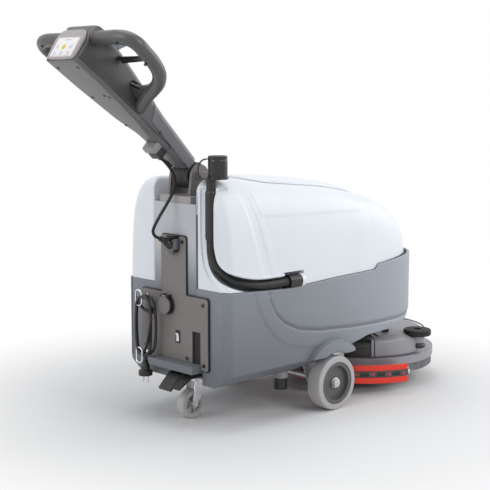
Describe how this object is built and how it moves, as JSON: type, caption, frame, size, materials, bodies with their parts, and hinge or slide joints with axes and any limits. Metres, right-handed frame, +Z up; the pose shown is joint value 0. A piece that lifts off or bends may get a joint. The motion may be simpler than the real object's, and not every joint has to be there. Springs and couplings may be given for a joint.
{
  "type": "wet dry floor scrubber",
  "caption": "Compact walk-behind wet dry floor scrubber: domed recovery tank over a lower tank, disc brush deck, curved squeegee, wheels, caster, and a folding handle with hand loops.",
  "frame": {"origin": "on the floor, under the middle of the machine's length and width with the handle parked", "axes": "+X forward, the way the machine drives; +Y to the machine's left; +Z up"},
  "size_m": [1.327, 0.5178, 1.0274],
  "materials": {
    "white_tank": "satin rotomoulded polyethylene",
    "grey_tank": "satin rotomoulded polyethylene",
    "warm_grey_panel": "fine textured plastic",
    "black_plastic": "satin moulded plastic",
    "dark_grey_plastic": "satin moulded plastic",
    "mid_grey_plastic": "satin moulded plastic",
    "light_grey_plastic": "satin moulded plastic",
    "console_face": "satin moulded plastic",
    "key_overlay": "membrane key panel",
    "black_rubber": "soft rubber",
    "grey_tyre": "grey non-marking rubber",
    "hub_plastic": "moulded nylon",
    "caster_plastic": "moulded nylon",
    "zinc_steel": "zinc plated",
    "chrome_wire": "polished wire",
    "painted_steel": "black powder coat",
    "chassis": "plain sheet",
    "cast_deck": "fine textured casting",
    "motor_housing": "cast housing",
    "battery": "moulded black case",
    "red_rubber": "soft red rubber",
    "skirt_bristle": "dense short bristles",
    "brush": "brush block with bristles",
    "bumper_grey": "firm grey rubber",
    "clear_bowl": "smoky clear plastic",
    "switch_white": "glossy",
    "tether_white": "satin moulded plastic"
  },
  "bodies": {
    "machine": {"base_tank": "grey_tank", "rear_panel": "warm_grey_panel", "gaskets": "black_rubber", "panel_screws": "painted_steel", "chassis_frame": "chassis", "drive_axle": "zinc_steel", "pedal_shaft": "zinc_steel", "caster_plate": "zinc_steel", "battery_pack": "battery", "recovery_tank": "white_tank", "vacuum_motor": "black_plastic", "pivot_plate": "warm_grey_panel", "column_brackets": "warm_grey_panel", "hinge_pin": "zinc_steel", "cord_hooks": "chrome_wire", "inlet_socket": "black_plastic", "cable_fittings": "black_plastic", "drain_hose": "black_rubber", "hose_couplings": "black_plastic", "hose_ring": "tether_white", "filter_head": "black_plastic", "control_cable": "black_rubber", "lead_hank": "black_rubber", "lead_tail": "black_rubber", "lead_plug": "black_plastic"},
    "handle": {"handle_body": "dark_grey_plastic", "column_cover": "mid_grey_plastic", "rear_cover": "light_grey_plastic", "console_face": "console_face", "key_overlay": "key_overlay", "loop_right": "dark_grey_plastic", "loop_left": "dark_grey_plastic", "cable_box": "black_plastic", "handle_pins": "zinc_steel"},
    "trigger_right": {"trigger_right": "light_grey_plastic"},
    "trigger_left": {"trigger_left": "light_grey_plastic"},
    "release_lever": {"release_lever": "black_plastic"},
    "wheel_right": {"tyre_right": "grey_tyre", "hub_right": "hub_plastic"},
    "wheel_left": {"tyre_left": "grey_tyre", "hub_left": "hub_plastic"},
    "caster_fork": {"caster_fork": "zinc_steel"},
    "caster_wheel": {"caster_wheel": "caster_plastic", "caster_hub": "caster_plastic"},
    "deck": {"deck_cover": "cast_deck", "deck_pins": "zinc_steel", "brush_motor": "motor_housing", "splash_skirt": "skirt_bristle"},
    "disc_brush": {"disc_brush": "brush"},
    "bumper_right": {"bumper_right": "bumper_grey"},
    "bumper_left": {"bumper_left": "bumper_grey"},
    "squeegee": {"squeegee_frame": "painted_steel", "squeegee_blades": "red_rubber"},
    "brush_pedal": {"brush_pedal": "black_plastic"},
    "squeegee_pedal": {"squeegee_pedal": "black_plastic"},
    "tank_lid": {"tank_lid": "white_tank"},
    "drain_cap": {"drain_cap": "black_plastic"},
    "filter_bowl": {"filter_bowl": "clear_bowl"},
    "inlet_flap": {"inlet_flap": "warm_grey_panel"},
    "rocker_switch": {"rocker_switch": "switch_white"}
  },
  "joints": [
    {"name": "handle_fold", "type": "hinge", "parent": "machine", "child": "handle", "pos_m": [-0.25846, 0, 0.655], "axis": [0, 1, 0], "range_deg": [0, 70], "deforming": ["control_cable"]},
    {"name": "trigger_right_pull", "type": "hinge", "parent": "handle", "child": "trigger_right", "pos_m": [-0.56464, -0.1, 0.99229], "axis": [0, 1, 0], "range_deg": [0, 15], "stiffness_Nm_per_rad": 0.3, "springref_deg": -22.92},
    {"name": "trigger_left_pull", "type": "hinge", "parent": "handle", "child": "trigger_left", "pos_m": [-0.56464, 0.1, 0.99229], "axis": [0, 1, 0], "range_deg": [0, 15], "stiffness_Nm_per_rad": 0.3, "springref_deg": -22.92},
    {"name": "release_lever_pull", "type": "hinge", "parent": "handle", "child": "release_lever", "pos_m": [-0.53424, -0.1, 0.95057], "axis": [0, 1, 0], "range_deg": [0, 25], "stiffness_Nm_per_rad": 0.3, "springref_deg": -22.92},
    {"name": "wheel_right_spin", "type": "hinge", "parent": "machine", "child": "wheel_right", "pos_m": [0.08154, -0.2035, 0.075], "axis": [0, 1, 0], "continuous": true},
    {"name": "wheel_left_spin", "type": "hinge", "parent": "machine", "child": "wheel_left", "pos_m": [0.08154, 0.2035, 0.075], "axis": [0, 1, 0], "continuous": true},
    {"name": "caster_swivel", "type": "hinge", "parent": "machine", "child": "caster_fork", "pos_m": [-0.23046, 0, 0.09], "axis": [0, 0, 1], "continuous": true},
    {"name": "caster_roll", "type": "hinge", "parent": "caster_fork", "child": "caster_wheel", "pos_m": [-0.25846, 0, 0.039], "axis": [0, 1, 0], "continuous": true},
    {"name": "deck_lift", "type": "slide", "parent": "machine", "child": "deck", "axis": [0, 0, 1], "range_m": [-0.045, 0]},
    {"name": "brush_spin", "type": "hinge", "parent": "deck", "child": "disc_brush", "pos_m": [0.43854, 0, 0.06], "axis": [0, 0, 1], "continuous": true},
    {"name": "bumper_right_spin", "type": "hinge", "parent": "deck", "child": "bumper_right", "pos_m": [0.46954, -0.2, 0.15], "axis": [0, 0, 1], "continuous": true},
    {"name": "bumper_left_spin", "type": "hinge", "parent": "deck", "child": "bumper_left", "pos_m": [0.46954, 0.2, 0.15], "axis": [0, 0, 1], "continuous": true},
    {"name": "squeegee_lift", "type": "slide", "parent": "machine", "child": "squeegee", "axis": [0, 0, 1], "range_m": [-0.036, 0]},
    {"name": "brush_pedal_swing", "type": "hinge", "parent": "machine", "child": "brush_pedal", "pos_m": [-0.28246, -0.0185, 0.14], "axis": [0, 1, 0], "range_deg": [0, 14.1]},
    {"name": "squeegee_pedal_swing", "type": "hinge", "parent": "machine", "child": "squeegee_pedal", "pos_m": [-0.28246, -0.0685, 0.14], "axis": [0, 1, 0], "range_deg": [0, 14.1]},
    {"name": "tank_lid_open", "type": "hinge", "parent": "machine", "child": "tank_lid", "pos_m": [0.31654, 0, 0.577], "axis": [0, 1, 0], "range_deg": [0, 70]},
    {"name": "drain_cap_pull", "type": "slide", "parent": "machine", "child": "drain_cap", "axis": [0, 0, 1], "range_m": [0, 0.05]},
    {"name": "filter_bowl_drop", "type": "slide", "parent": "machine", "child": "filter_bowl", "axis": [0, 0, 1], "range_m": [-0.03, 0]},
    {"name": "inlet_flap_open", "type": "hinge", "parent": "machine", "child": "inlet_flap", "pos_m": [-0.32946, 0.023, 0.339], "axis": [0, 1, 0], "range_deg": [0, 110], "stiffness_Nm_per_rad": 0.02, "springref_deg": -28.65},
    {"name": "rocker_tip", "type": "hinge", "parent": "machine", "child": "rocker_switch", "pos_m": [-0.31246, -0.016, 0.233], "axis": [0, 1, 0], "range_deg": [0, 16]}
  ],
  "couplings": [
    {"joint": "brush_pedal_swing", "follows": "deck_lift", "rad_per_m": -5.43},
    {"joint": "squeegee_pedal_swing", "follows": "squeegee_lift", "rad_per_m": -6.78}
  ]
}
